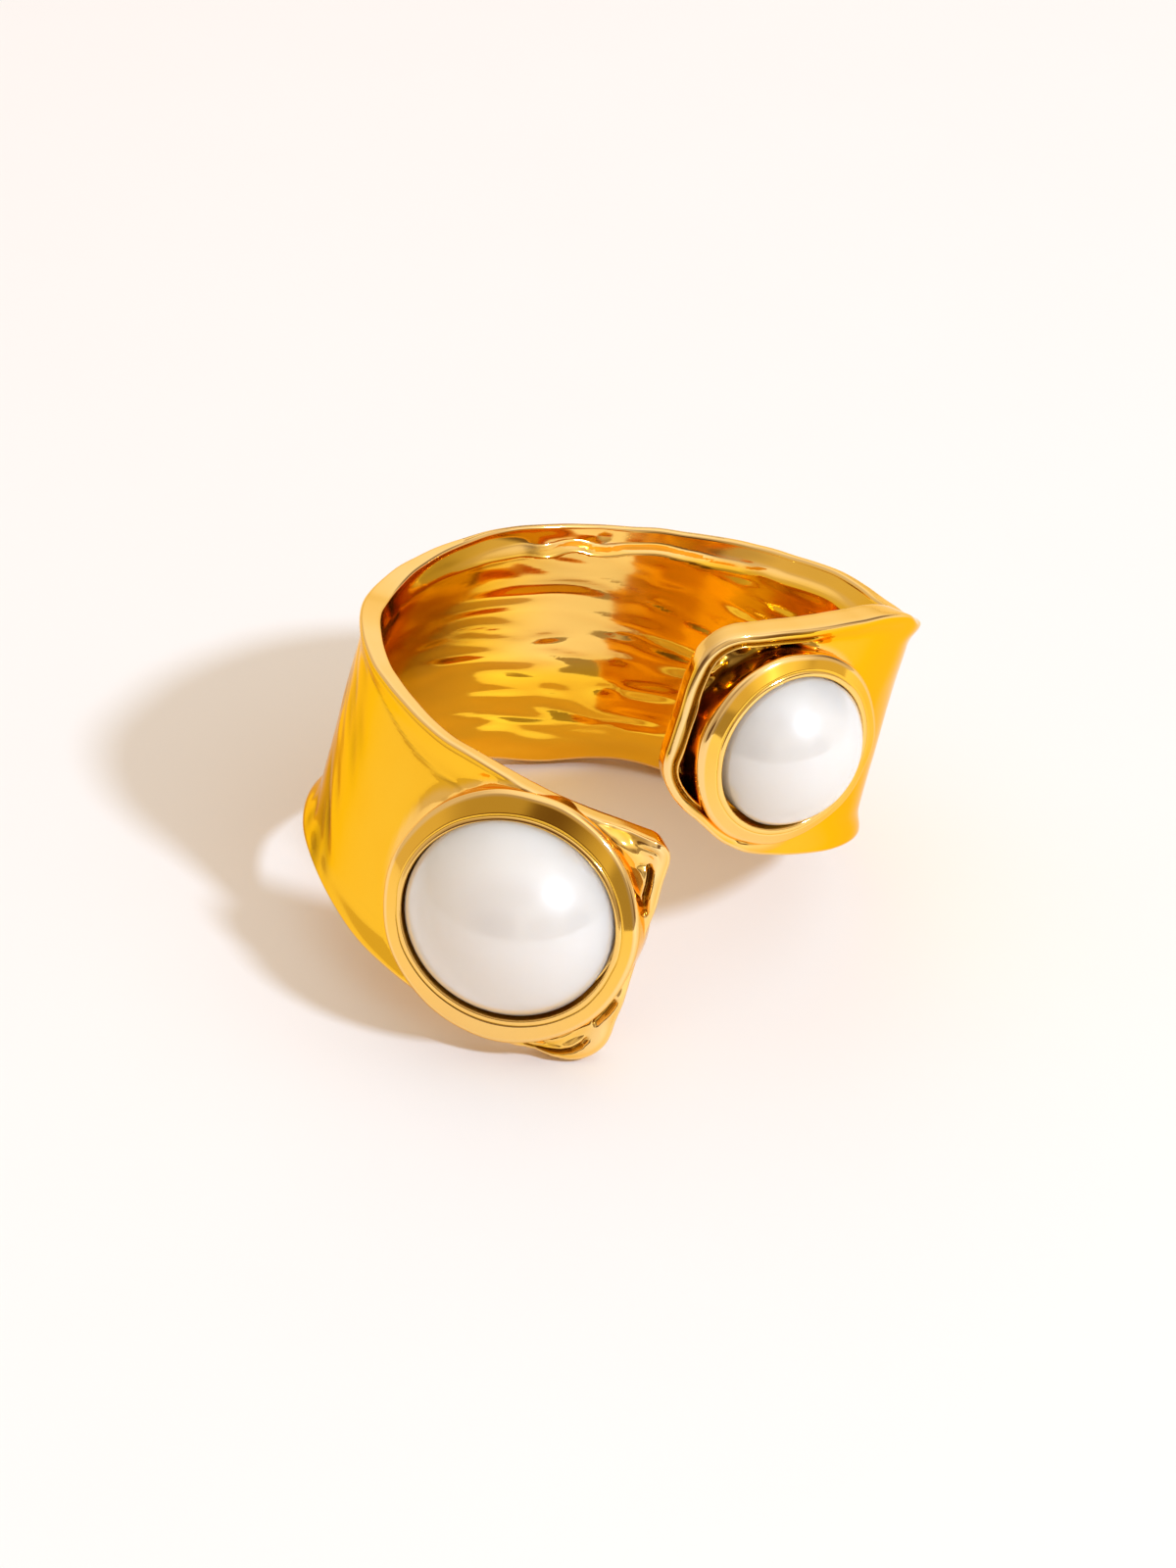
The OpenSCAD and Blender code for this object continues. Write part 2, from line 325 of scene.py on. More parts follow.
# Curves and random waves
def fall(x):
    """Falls smoothly from 1 at an edge to 0 at a width."""
    x = np.minimum(x, 1)
    return (1 - x) ** 2 * (1 + 2 * x)


def step(x):
    """Rises smoothly from 0 at x = 0 to 1 at x = 1."""
    x = np.clip(x, 0, 1)
    return x * x * (3 - 2 * x)


def bump(x):
    """A round hump, 1 at x = 0 and 0 from x = 1 on both sides."""
    return np.sqrt(np.clip(1 - x * x, 0, 1))


def come_and_go(x, span):
    """Rises to 1 between the first two values of a span, and falls to 0 between the last two."""
    start, full, full_end, end = span
    return step((x - start) / (full - start)) * step((end - x) / (end - full_end))


def wander(x, seed, pitch, height):
    """A smooth random wave along x, with a new height at every pitch."""
    each_side = 500
    knots = np.random.default_rng(seed).uniform(-height, height, 2 * each_side)
    i = np.floor(np.asarray(x) / pitch).astype(int)
    w = step(np.asarray(x) / pitch - i)
    return knots[i + each_side] * (1 - w) + knots[i + each_side + 1] * w


def waves(x, rows):
    """The sum of several random waves along x."""
    return sum(wander(x, *row) for row in rows)


def along(angles, column):
    """A smooth curve through one column of the band's rows."""
    x, y = STATIONS[:, ANGLE], STATIONS[:, column]
    last = len(x) - 1
    before = np.maximum(np.arange(last + 1) - 1, 0)
    after = np.minimum(np.arange(last + 1) + 1, last)
    slope = (y[after] - y[before]) / (x[after] - x[before])
    i = np.clip(np.searchsorted(x, angles, side="right") - 1, 0, last - 1)
    w = x[i + 1] - x[i]
    t = (angles - x[i]) / w
    ends = y[i] * (1 + 2 * t) * (1 - t) ** 2 + y[i + 1] * t**2 * (3 - 2 * t)
    return ends + w * (slope[i] * t * (1 - t) ** 2 + slope[i + 1] * t**2 * (t - 1))


# Hammer marks: arc and height of the middle, half length, half width, depth, tilt
def dents(seed, count, span, length, width, depth, tilt, swell):
    """Scattered marks over a span of angles, with ranges for their sizes, depths and tilts in degrees.

    swell is the share of them that stand out instead.
    """
    rng = np.random.default_rng(seed)
    angle = rng.uniform(*span, count)
    low, high = along(angle, LOW), along(angle, HIGH)
    return np.stack([
        angle * MM_PER_DEG,
        low + rng.uniform(CLEAR_OF_EDGES, 1 - CLEAR_OF_EDGES, count) * (high - low),
        rng.uniform(*length, count) / 2,
        rng.uniform(*width, count) / 2,
        rng.uniform(*depth, count) * rng.choice([-1, 1], count, p=[swell, 1 - swell]),
        np.radians(rng.uniform(*tilt, count))], axis=1)


def set_marks(rows):
    """Marks listed one by one."""
    angle, height, length, width, depth, tilt = rows.T
    return np.stack([angle * MM_PER_DEG, height, length / 2, width / 2, depth, np.radians(tilt)], axis=1)


ALL_ROUND = (FIRST, LAST)
INSIDE_DENTS = np.concatenate([
    dents(3, 420, ALL_ROUND, (1.2, 3.8), (0.3, 0.75), (0.008, 0.03), (-14, 5), 0.45),
    dents(4, 60, ALL_ROUND, (4.0, 8.0), (1.2, 2.2), (0.02, 0.06), (-10, 6), 0.5),
    set_marks(INSIDE_MARKS)])
EDGE_DENTS = dents(5, 170, ALL_ROUND, (0.8, 2.6), (0.4, 1.0), (0.02, 0.09), (-20, 20), 0.5)
OUTSIDE_DENTS = dents(8, 110, ALL_ROUND, (2.0, 5.0), (0.9, 1.8), (0.004, 0.014), (-35, 5), 0.4)
RIPPLES = dents(9, 34, (176, 208), (1.2, 2.4), (0.35, 0.6), (0.02, 0.05), (-62, -48), 0.25)
CRUMBS = np.concatenate([
    dents(11, 160, (FIRST, FIRST + 26), (0.3, 0.7), (0.25, 0.5), (0.04, 0.12), (-90, 90), 0.5),
    dents(12, 160, (LAST - 30, LAST), (0.3, 0.7), (0.25, 0.5), (0.03, 0.10), (-90, 90), 0.5)])


def dented(s, marks):
    """Depth of marks at the rows of one section."""
    near = np.abs(marks[:, 0] - s.arc.mean()) < MARK_REACH * marks[:, 2] + LEAN_MARGIN
    arc, height, half_length, half_width, depth, tilt = marks[near].T
    x, y = s.arc[:, None] - arc, s.z[:, None] - height
    u = (x * np.cos(tilt) + y * np.sin(tilt)) / half_length
    v = (y * np.cos(tilt) - x * np.sin(tilt)) / half_width
    return (depth * np.exp(-(u**2 + v**2))).sum(axis=1)


# Places of the band's sections and rows
def steps_in(fine_end, fine_count, end, count):
    """Distances in from the outline: fine steps up to fine_end, then wider ones."""
    return np.concatenate([np.linspace(0, fine_end, fine_count), np.linspace(fine_end, end, count)[1:]])


# Rows from the long edges, sections from the ends, and rows between the lips
LIP_STEPS = steps_in(fine_end=0.6, fine_count=19, end=1.15, count=8)
END_STEPS = steps_in(fine_end=0.8, fine_count=24, end=2.65, count=22)
MIDDLE_ROWS = 54
# How many degrees of each end are plate, and the degrees between sections there and behind
PLATE_SPAN = 38
PLATE_PITCH = 0.7
BACK_PITCH = 1.25


def evenly(start, end, pitch):
    """Evenly spaced angles from start up to, but not including, end."""
    return np.linspace(start, end, round((end - start) / pitch) + 1)[:-1]


def section_angles():
    """Angles of the sections: close together at both ends, wider over the plates, widest behind."""
    first, last = FIRST + EDGE_R / MM_PER_DEG, LAST - EDGE_R / MM_PER_DEG
    steps = END_STEPS / MM_PER_DEG
    plain = np.concatenate([
        evenly(first + steps[-1], first + PLATE_SPAN, PLATE_PITCH),
        evenly(first + PLATE_SPAN, last - PLATE_SPAN, BACK_PITCH),
        evenly(last - PLATE_SPAN, last - steps[-1], PLATE_PITCH)])
    return np.concatenate([first + steps[:-1], plain, last - steps[::-1]])


def inset(s, r):
    """How far a rounded corner takes the long edge in, at s from the band's end."""
    return r - math.sqrt(r * r - (r - s) ** 2) if s < r else 0.0


def in_from_edge(s, d, r):
    """Distance in from the band's outline at s from its end and d from its long edge."""
    corner = r - np.hypot(r - s, r - d)
    return np.where((s < r) & (d < r), np.maximum(corner, 0), np.minimum(s, d))


def section_rows(angle):
    """Heights of a section's rows, how far each lies in from the outline, its share of the way up the
    section, and the height of the section's middle."""
    from_first = (angle - FIRST) * MM_PER_DEG - EDGE_R
    from_last = (LAST - angle) * MM_PER_DEG - EDGE_R
    corner = np.array(CORNERS[0 if from_first < from_last else 1]) - EDGE_R
    s = max(min(from_first, from_last), 0)
    arc = angle * MM_PER_DEG
    low = along(angle, LOW) + EDGE_R + LOW_DRAWN_UP + waves(arc, LOW_WAVES)
    high = along(angle, HIGH) - EDGE_R + waves(arc, HIGH_WAVES)
    bottom, top = low + inset(s, corner[0]), high - inset(s, corner[1])
    middle = np.linspace(bottom + LIP_STEPS[-1], top - LIP_STEPS[-1], MIDDLE_ROWS + 2)[1:-1]
    z = np.concatenate([bottom + LIP_STEPS, middle, top - LIP_STEPS[::-1]])
    t = np.minimum(in_from_edge(s, z - low, corner[0]), in_from_edge(s, high - z, corner[1]))
    return z, t, step((z - bottom) / (top - bottom)), (low + high) / 2


class Section:
    """One section across the band, with a value for each row from the lower edge to the upper one.

    z is the row's height, t how far it lies in from the outline, rise its share of the way up, a its
    direction round the finger in radians, and arc its place along the band in millimetres. base is the
    radius of the inner face before it opens out. clear_of_lip is 0 at the outline and 1 past the lip.
    The rest is what is cut into the faces or stands on them.
    """

    def __init__(self, angle):
        self.angle = angle
        self.z, self.t, self.rise, middle = section_rows(angle)
        wave = waves(self.z, END_WAVES) * fall((angle - FIRST) / END_WAVES_REACH)
        self.a = np.radians(angle + LEAN * (self.z - middle) + wave)
        self.arc = self.a * MIDDLE_R
        self.base = FINGER_R + along(angle, GAP)
        self.clear_of_lip = np.minimum(self.t / LIP_W, 1)
        self.small_frame = beside(self, SMALL, SMALL["frame"])
        self.large_frame = beside(self, LARGE, LARGE["frame"])
        self.lip = lip_profile(self)
        self.hammered = dented(self, INSIDE_DENTS)
        self.hollow = hollow_depth(self)
        self.crumbs = dented(self, CRUMBS) * np.minimum(self.hollow / CRUMBS_FULL, 1)
        self.slots = slot_depth(self)
        self.ripples = dented(self, RIPPLES)
        self.creases = crease_depth(self)
        self.solder = solder_height(self)


# What the outside of the band carries
def turn_round(s, gem):
    """Direction of each row round a pearl, in degrees, and distance from its axis."""
    off = s.a - math.radians(gem["angle"])
    x, y = (FINGER_R + METAL_T) * np.sin(off), s.z - gem["z"]
    return np.degrees(np.arctan2(y, x)), np.where(np.cos(off) > 0, np.hypot(x, y), np.inf)


def within(turn, spread):
    """1 within a spread of directions, falling to 0 at its ends."""
    middle, half = spread
    return step((half - np.abs((turn - middle + 180) % 360 - 180)) / SPREAD_FADE)


def beside(s, gem, spread):
    """1 where a row lies on the plate beside a collar and within a spread of directions."""
    turn, far = turn_round(s, gem)
    return within(turn, spread) * step((HOLLOW_REACH - far + gem["collar"] / 2) / REACH_FADE)


def lip_profile(s):
    """Height of the lip: a plain fall, the small plate's frame, or the large plate's broad tube."""
    plain = fall(s.t / LIP_W) ** LIP_POWER
    tube = FRAME_FLOOR + (1 - FRAME_FLOOR) * bump((s.t - ROLL_W / 2) / (ROLL_W / 2 + EDGE_R))
    bead = BEAD_H * bump((s.t - ROLL_W - LINE_W - BEAD_HALF_W) / (BEAD_HALF_W + BEAD_FOOT_W))
    frame_here = np.where(s.t < ROLL_W + LINE_W / 2, tube, np.maximum(bead, FRAME_FLOOR))
    broad = 1 - EDGE_LOSS * np.maximum(1 - s.t / CREST_AT, 0) ** 2
    broad -= BACK_LOSS * step((s.t - CREST_AT) / BACK_LOSS_W)
    small, large = s.small_frame, s.large_frame
    return plain * (1 - small) * (1 - large) + frame_here * small + broad * large


def hollow_depth(s):
    """How deep the hollows are cut in the plates."""
    depth = np.zeros_like(s.z)
    for gem in (SMALL, LARGE):
        cut = gem["hollow"]
        across = cut["groove"] * step((s.t - cut["frame_w"]) / HOLLOW_WALL)
        behind = step((s.t - cut["frame_w"] - cut["groove_w"]) / GROOVE_BACK_W)
        across -= (cut["groove"] - cut["rest"]) * behind
        depth = np.maximum(depth, beside(s, gem, cut["spread"]) * across)
    return depth


def slot_depth(s):
    """How deep the large plate's slots are cut. The middle of a slot's wall lies on its edge."""
    depth = np.zeros_like(s.z)
    for start, start_z, end, end_z, half, deep in SLOTS:
        x, y = s.arc - start * MM_PER_DEG, s.z - start_z
        dx, dy = (end - start) * MM_PER_DEG, end_z - start_z
        k = np.clip((x * dx + y * dy) / (dx * dx + dy * dy), 0, 1)
        off = np.hypot(x - k * dx, y - k * dy)
        depth = np.maximum(depth, deep * step((half - off) / SLOT_WALL + 0.5))
    return depth


def crease_depth(s):
    """Depth of the fine lines that follow the upper edge."""
    start, end = CREASES_PART
    depth = np.zeros_like(s.t)
    for at, farther, half, deep, *wave in CREASES:
        there = at + farther * step((s.angle - start) / (end - start)) + wander(s.arc, *wave)
        depth += deep * np.exp(-((s.t - there) / half) ** 2)
    return depth * come_and_go(s.angle, CREASES_SPAN) * s.rise


def solder_height(s):
    """Metal drawn up against the collars' walls. A half angle of 180 degrees goes all round."""
    rise = np.zeros_like(s.z)
    for gem in (SMALL, LARGE):
        turn, far = turn_round(s, gem)
        for spread, width, height in gem["solders"]:
            share = within(turn, spread) if spread[1] < 180 else 1
            rise = np.maximum(rise, height * share * fall(np.abs(far - gem["collar"] / 2) / width))
    return rise


def waist(s):
    """How far the outside sinks between its edges."""
    return WAIST_H * come_and_go(s.angle, WAIST_SPAN) * (1 - (2 * s.rise - 1) ** 2)


def cut_cups(s, r):
    """Radius of the outer face, cut down to a flat floor where it lies under a pearl."""
    for gem in (LARGE, SMALL):
        off = s.a - math.radians(gem["angle"])
        under = (np.cos(off) > 0) & (np.hypot(r * np.sin(off), s.z - gem["z"]) < gem["pearl"] / 2)
        floor = (FINGER_R + SEAT_H - PEARL_GAP) / np.where(under, np.cos(off), 1)
        r = np.where(under, np.minimum(r, floor), r)
    return r


# The two faces of the band
def opening(s):
    """How far the inside opens outwards near an edge: a slope, or at the back a ledge."""
    slope = fall(s.t / EASE_W)
    ledge_w = LEDGE_W + waves(s.arc, LEDGE_WAVES)
    ledge = 1 - step((s.t - ledge_w) / along(s.angle, LEDGE_FALL_W))
    share = along(s.angle, LEDGE)
    upper = along(s.angle, EASE) * (slope * (1 - share) + ledge * share)
    return LOW_EASE * slope * (1 - s.rise) + upper * s.rise


def inner_radius(s):
    """Radius of the hammered inner face."""
    marks = s.hammered * (MARKS_AT_EDGE + (1 - MARKS_AT_EDGE) * s.clear_of_lip)
    return s.base + opening(s) + marks + dented(s, EDGE_DENTS) * fall(s.t / EDGE_DENTS_W)


def outer_radius(s, inner):
    """Radius of the outer face with its lip, its cuts and its solder."""
    lip_h = along(s.angle, LIP_LOW) * (1 - s.rise) + along(s.angle, LIP_HIGH) * s.rise
    r = s.base + METAL_T - along(s.angle, THIN) - waist(s) + lip_h * s.lip
    r += s.solder - s.hollow - s.slots - s.crumbs - s.creases
    r -= (dented(s, OUTSIDE_DENTS) + s.ripples) * s.clear_of_lip
    return np.maximum(cut_cups(s, r), inner + LEAST_T)


def zone(s, span, start, full, strength):
    """Share of a zone of the inside at each row."""
    return strength * come_and_go(s.angle, span) * step((s.rise - start) / (full - start))


def inner_painted_light(s):
    """Painted highlight and painted shade on the inner face."""
    ridge = np.exp(-((s.t - RIDGE_AT) / RIDGE_W) ** 2)
    on_ledge = np.maximum(RIM_HIGHLIGHT * ridge, LEDGE_HIGHLIGHT * (s.t < LEDGE_W))
    # Painted highlight in a zone under the upper edge, and along the ledge and its ridge
    painted_highlight = np.maximum(zone(s, *PAINTED_HIGHLIGHT_ZONE), along(s.angle, LEDGE) * on_ledge * s.rise)
    # Painted shade along the hammer marks and in a zone of the inside
    return painted_highlight, np.clip(HAMMER_SHADE * s.hammered + zone(s, *PAINTED_SHADE_ZONE), 0, INSIDE_MOST_SHADE)


def outer_painted_light(s):
    """Painted highlight and painted shade on the outer face."""
    # Painted shade in the frame's dark line, hollows, crumbs, slots, fine lines and ripples; painted
    # highlight on the plates' lips and the solder
    in_line = LINE_SHADE * s.small_frame * bump((s.t - ROLL_W - LINE_W / 2) / LINE_W)
    in_hollow = step((s.hollow - HOLLOW_SHADE_FROM) / (HOLLOW_FULL_SHADE - HOLLOW_SHADE_FROM))
    painted_shade = np.clip(np.maximum.reduce([
        in_hollow + CRUMBS_SHADE * s.crumbs, in_line, s.slots / SLOT_FULL_SHADE,
        CREASES_SHADE * s.creases, RIPPLES_SHADE * s.ripples]), 0, 1)
    on_plate = max(fall((s.angle - FIRST) / HIGHLIGHT_FROM_FIRST), fall((LAST - s.angle) / HIGHLIGHT_FROM_LAST))
    lip_highlight = PLATE_LIP_HIGHLIGHT + FRAME_EXTRA_HIGHLIGHT * np.maximum(s.large_frame, s.small_frame)
    soldered = SOLDER_HIGHLIGHT * np.minimum(s.solder / SOLDER_FULL, 1)
    return np.maximum(lip_highlight * s.lip * on_plate, soldered) * (1 - painted_shade), painted_shade


def sheet_grid():
    """Points, and their painted highlight and painted shade, of the inner and the outer face, section by
    section.
    """
    points, painted_light = ([], []), ([], [])
    for angle in section_angles():
        s = Section(angle)
        inner = inner_radius(s)
        for face, r, looks in ((0, inner, inner_painted_light(s)), (1, outer_radius(s, inner), outer_painted_light(s))):
            points[face].append(np.stack([r * np.cos(s.a), r * np.sin(s.a), s.z], axis=1))
            painted_light[face].append(looks)
    return np.array(points), np.array(painted_light)


# The rim that joins the two faces: directions of its points round each rounded edge, and shares of
# the metal's thickness with points between them
RIM_TURNS = np.radians((22.5, 45, 67.5, 90))
RIM_SHARES = np.array((0.32, 0.5, 0.68))


def rim_curve(width):
    """Across a rim from the inner face to the outer: how far over, and how far out from the outline."""
    over, out = EDGE_R * (1 - np.cos(RIM_TURNS)), EDGE_R * np.sin(RIM_TURNS)
    over = np.concatenate([over, RIM_SHARES * width, width - over[::-1]])
    return over, np.concatenate([out, np.full(len(RIM_SHARES), EDGE_R), out[::-1]])


def rim_points(inner, outer):
    """Points across the rim at each place round the outline."""
    over_mean = (inner + outer) / 2
    tangent = np.roll(over_mean, -1, axis=0) - np.roll(over_mean, 1, axis=0)
    across = outer - inner
    width = np.linalg.norm(across, axis=1)
    outward = np.cross(tangent, across)
    outward /= np.linalg.norm(outward, axis=1)[:, None]
    rows = []
    for k in range(len(inner)):
        over, out = rim_curve(width[k])
        rows.append(inner[k] + np.outer(over / width[k], across[k]) + np.outer(out, outward[k]))
    return np.array(rows)


def outline_places(n, m):
    """Section and row of each place round the outline of a grid of n sections and m rows."""
    there = [(i, 0) for i in range(n - 1)] + [(n - 1, j) for j in range(m - 1)]
    back = [(i, m - 1) for i in range(n - 1, 0, -1)] + [(0, j) for j in range(m - 1, 0, -1)]
    return np.array(there + back).T


def sheet_faces(n, m):
    """Faces of the inner and the outer grid of n sections and m rows."""
    faces = []
    for i in range(n - 1):
        for j in range(m - 1):
            a, b = i * m + j, (i + 1) * m + j
            faces.append((a + 1, b + 1, b, a))
            faces.append(tuple(n * m + k for k in (a, b, b + 1, a + 1)))
    return faces


def rim_faces(starts, sheet, across):
    """Faces across the rim, from the inner face to the outer. The rim's points come after theirs.

    starts are the numbers of the inner face's points round the outline, sheet is how many points one face
    has, and across is how many the rim has at each place.
    """
    lines = []
    for k, start in enumerate(starts):
        first = 2 * sheet + k * across
        lines.append([start, *range(first, first + across), sheet + start])
    faces = []
    for here, there in zip(lines, lines[1:] + lines[:1]):
        for q in range(across + 1):
            faces.append((here[q], there[q], there[q + 1], here[q + 1]))
    return faces


# Making the pieces
def ring_frame():
    """The matrix that leans the ring on the table and turns millimetres into metres."""
    x, y, z = HOLE["axis"]
    lean = Matrix.Rotation(math.atan2(x, z), 4, "Y") @ Matrix.Rotation(-math.asin(y), 4, "X")
    return Matrix.Translation(HOLE["pos_m"]) @ lean @ Matrix.Diagonal((MM, MM, MM, 1))


RING = ring_frame()


def make_piece(name, points, faces, material, replaces, painted_light=None):
    """A mesh piece from points in the ring's own frame, with its material and its place in the frame.

    The painted light is two numbers from 0 to 1 at each point: painted highlight, which pales the gold
    where it stands in for bright reflections, and painted shade, which darkens it.
    """
    mesh = bpy.data.meshes.new(name)
    mesh.from_pydata([RING @ Vector(p) for p in points], [], faces)
    if painted_light is not None:
        # Painted highlight and painted shade are kept on each point
        for label, values in zip(("painted_highlight", "painted_shade"), painted_light):
            mesh.attributes.new(label, "FLOAT", "POINT").data.foreach_set("value", values)
    mesh.validate()
    mesh.shade_smooth()
    piece = bpy.data.objects.new(name, mesh)
    bpy.context.scene.collection.objects.link(piece)
    mesh.materials.append(material)
    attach(piece, "root")
    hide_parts(replaces)


def make_band(material):
    """The inner and the outer face, joined by a rounded rim all round."""
    points, painted_light = sheet_grid()
    inner, outer = points
    n, m = inner.shape[:2]
    section, row = outline_places(n, m)
    rim = rim_points(inner[section, row], outer[section, row])
    count, across = rim.shape[:2]
    faces = sheet_faces(n, m) + rim_faces((section * m + row).tolist(), n * m, across)
    # Painted highlight along the rim, less at the small pearl's end; no painted shade on the rim
    rim_highlight = np.repeat(np.where(section == 0, END_RIM_HIGHLIGHT, RIM_HIGHLIGHT), across)
    painted_highlight = np.concatenate([painted_light[:, :, 0].ravel(), rim_highlight])
    painted_shade = np.concatenate([painted_light[:, :, 1].ravel(), np.zeros(count * across)])
    points = np.concatenate([points.reshape(-1, 3), rim.reshape(-1, 3)])
    make_piece("band_metal", points, faces, material, "band", (painted_highlight, painted_shade))


def on_band(gem, x, y, z):
    """A point placed on the band at a pearl: x down the band, y round it, z away from the finger."""
    a = math.radians(gem["angle"])
    r = FINGER_R + z
    return (r * math.cos(a) - y * math.sin(a), r * math.sin(a) + y * math.cos(a), gem["z"] - x)


def directions(sides):
    """Evenly spaced directions round an axis, in radians."""
    return [2 * math.pi * i / sides for i in range(sides)]


def revolve(gem, profiles, closed, slip=(0, 0)):
    """Points and faces of profiles set evenly round a pearl's axis.

    Each row of a profile starts with a radius and a height.
    """
    points, faces = [], []
    sides, m = len(profiles), len(profiles[0])
    for t, profile in zip(directions(sides), profiles):
        for r, h, *_ in profile:
            points.append(on_band(gem, slip[0] + r * math.cos(t), slip[1] + r * math.sin(t), h))
    for i in range(sides):
        k = (i + 1) % sides
        for j in range(m if closed else m - 1):
            n = (j + 1) % m
            faces.append((i * m + j, i * m + n, k * m + n, k * m + j))
    return points, faces


def arc_points(cx, cy, r, start, end, count):
    """Points along an arc, in degrees."""
    ts = np.radians(np.linspace(start, end, count))
    return [(cx + r * math.cos(t), cy + r * math.sin(t)) for t in ts]


def in_metal(r, t):
    """Height of the middle of the band's metal at a place round a pearl's axis."""
    return math.sqrt(MIDDLE_R**2 - (r * math.sin(t)) ** 2) - FINGER_R


def mouth_radius(gem):
    """Inner radius of a collar's lip, before it is made oval or pressed in."""
    return math.sqrt((gem["pearl"] / 2 + PEARL_GAP) ** 2 - gem["sink"] ** 2) + MOUTH_EXTRA


def oval(gem, t):
    """How much wider or narrower than round a pearl is in one direction round its axis."""
    return 1 - gem["oval"] * math.cos(2 * t)


def uneven(t, rows):
    """The sum of several waves across a collar, in one direction round its axis."""
    x, y = math.cos(t), math.sin(t)
    return sum(wander(x_speed * x + y_speed * y + start, *wave) for x_speed, y_speed, start, *wave in rows)


def collar_wall(gem, t, outer, edge_h):
    """Up the wall from its foot in the metal. It carries painted shade where it stands in a hollow."""
    turn = math.degrees(math.atan2(-math.cos(t), math.sin(t)))
    deep = min(WALL_SHADE * gem["hollow"]["groove"], 1)
    # Painted shade on the wall where it stands in a hollow, painted highlight elsewhere
    painted_shade = float(within(turn, gem["hollow"]["spread"])) * deep
    foot = in_metal(outer, t)
    return [(outer - WALL_DRAFT * (1 - k), foot + (edge_h - foot) * k, WALL_HIGHLIGHT * (1 - painted_shade),
             painted_shade * (k < WALL_UNSHADED_FROM)) for k in WALL_STEPS]


def collar_slope(t, outer, edge_h, lip):
    """Over the shoulder and up the slope to the lip."""
    arc = arc_points(outer - SHOULDER_R, edge_h, SHOULDER_R, 0, SHOULDER_TURN, SHOULDER_POINTS)
    top_r, top_h = arc[-1]
    out, up = lip + SLOPE_END_OUT - top_r, COLLAR_H - SLOPE_END_DROP - top_h
    least, most = SLOPE_HIGHLIGHT
    # Painted highlight on the slope, stronger on its side down the band; painted highlight on the shoulder
    painted_highlight = least + (most - least) * ((1 + math.cos(t)) / 2) ** 2
    return ([(r, h, SHOULDER_HIGHLIGHT, 0) for r, h in arc]
            + [(top_r + out * k, top_h + up * k, painted_highlight, 0) for k in SLOPE_STEPS])


def collar_mouth(t, lip, mouth):
    """Over the lip and down inside, past the pearl's back and into the metal."""
    seat = SEAT_H - PEARL_GAP
    roll = arc_points(mouth + LIP_ROLL_R, COLLAR_H - LIP_ROLL_DROP, LIP_ROLL_R, *LIP_ROLL_TURN,
                      LIP_ROLL_POINTS)
    # Painted highlight on the lip and its roll, painted shade in the line round the lip and down the mouth
    rows = [(lip + out, COLLAR_H - drop, painted_highlight, painted_shade) for out, drop, painted_highlight, painted_shade in LIP_ROWS]
    rows += [(r, h, COLLAR_LIP_HIGHLIGHT, 0) for r, h in roll]
    rows += [(mouth, COLLAR_H - drop, painted_highlight, painted_shade) for drop, painted_highlight, painted_shade in MOUTH_ROWS]
    # Full painted shade down inside the collar, behind the pearl
    rows += [(mouth - SEAT_DRAFT / 2, (COLLAR_H + seat) / 2, 0, 1), (mouth - SEAT_DRAFT, seat, 0, 1),
             (mouth - SEAT_DRAFT, in_metal(mouth, t), 0, 1)]
    return rows


def collar_profile(gem, t):
    """A collar's profile in one direction round its axis, from its foot outside to its foot inside.

    Each row is a radius, a height, its painted highlight and its painted shade.
    """
    pressed = gem["pinch"] * math.exp(-((math.degrees(t) - PINCH_AT) / PINCH_W) ** 2)
    mouth = mouth_radius(gem) * oval(gem, t) - pressed
    lip = mouth + COLLAR_LIP_W + uneven(t, LIP_WAVES)
    outer = gem["collar"] / 2 + uneven(t, WALL_WAVES)
    edge_h = COLLAR_H - SHOULDER_DROP + uneven(t, SHOULDER_WAVES)
    return (collar_wall(gem, t, outer, edge_h) + collar_slope(t, outer, edge_h, lip)
            + collar_mouth(t, lip, mouth))


def make_collar(name, gem, material):
    """A collar on the band, round a pearl."""
    profiles = [collar_profile(gem, t) for t in directions(COLLAR_SIDES)]
    points, faces = revolve(gem, profiles, closed=True)
    painted_light = np.array(profiles)[:, :, 2:].reshape(-1, 2).T.copy()
    make_piece(name, points, faces, material, "band", painted_light)


def make_pearl(name, gem, material, node):
    """A half pearl held in the collar: a dome on a short straight side."""
    r = gem["pearl"] / 2
    middle_h, side = COLLAR_H - gem["sink"], mouth_radius(gem) - SIDE_GAP
    dome = arc_points(0, middle_h, r, math.degrees(math.acos(side / r)), 90, PEARL_ROWS)[:-1]
    profile = [(side, SEAT_H), (side, (SEAT_H + dome[0][1]) / 2)] + dome
    profiles = [[(x * oval(gem, t), h) for x, h in profile] for t in directions(PEARL_SIDES)]
    points, faces = revolve(gem, profiles, closed=False, slip=gem["slip"])
    m = len(profile)
    top, back = len(points), len(points) + 1
    points += [on_band(gem, *gem["slip"], middle_h + r), on_band(gem, *gem["slip"], SEAT_H)]
    for i in range(PEARL_SIDES):
        k = (i + 1) % PEARL_SIDES
        faces.append((i * m + m - 1, top, k * m + m - 1))
        faces.append((k * m, back, i * m))
    make_piece(name, points, faces, material, node)


# Materials
# The two tones that each drifts between
GOLD_TONES = ((1.0, 0.535, 0.02, 1), (1.0, 0.575, 0.032, 1))
PEARL_TONES = ((0.75, 0.67, 0.585, 1), (0.78, 0.70, 0.615, 1))
TABLE_TONES = ((0.895, 0.825, 0.75, 1), (0.915, 0.845, 0.77, 1))
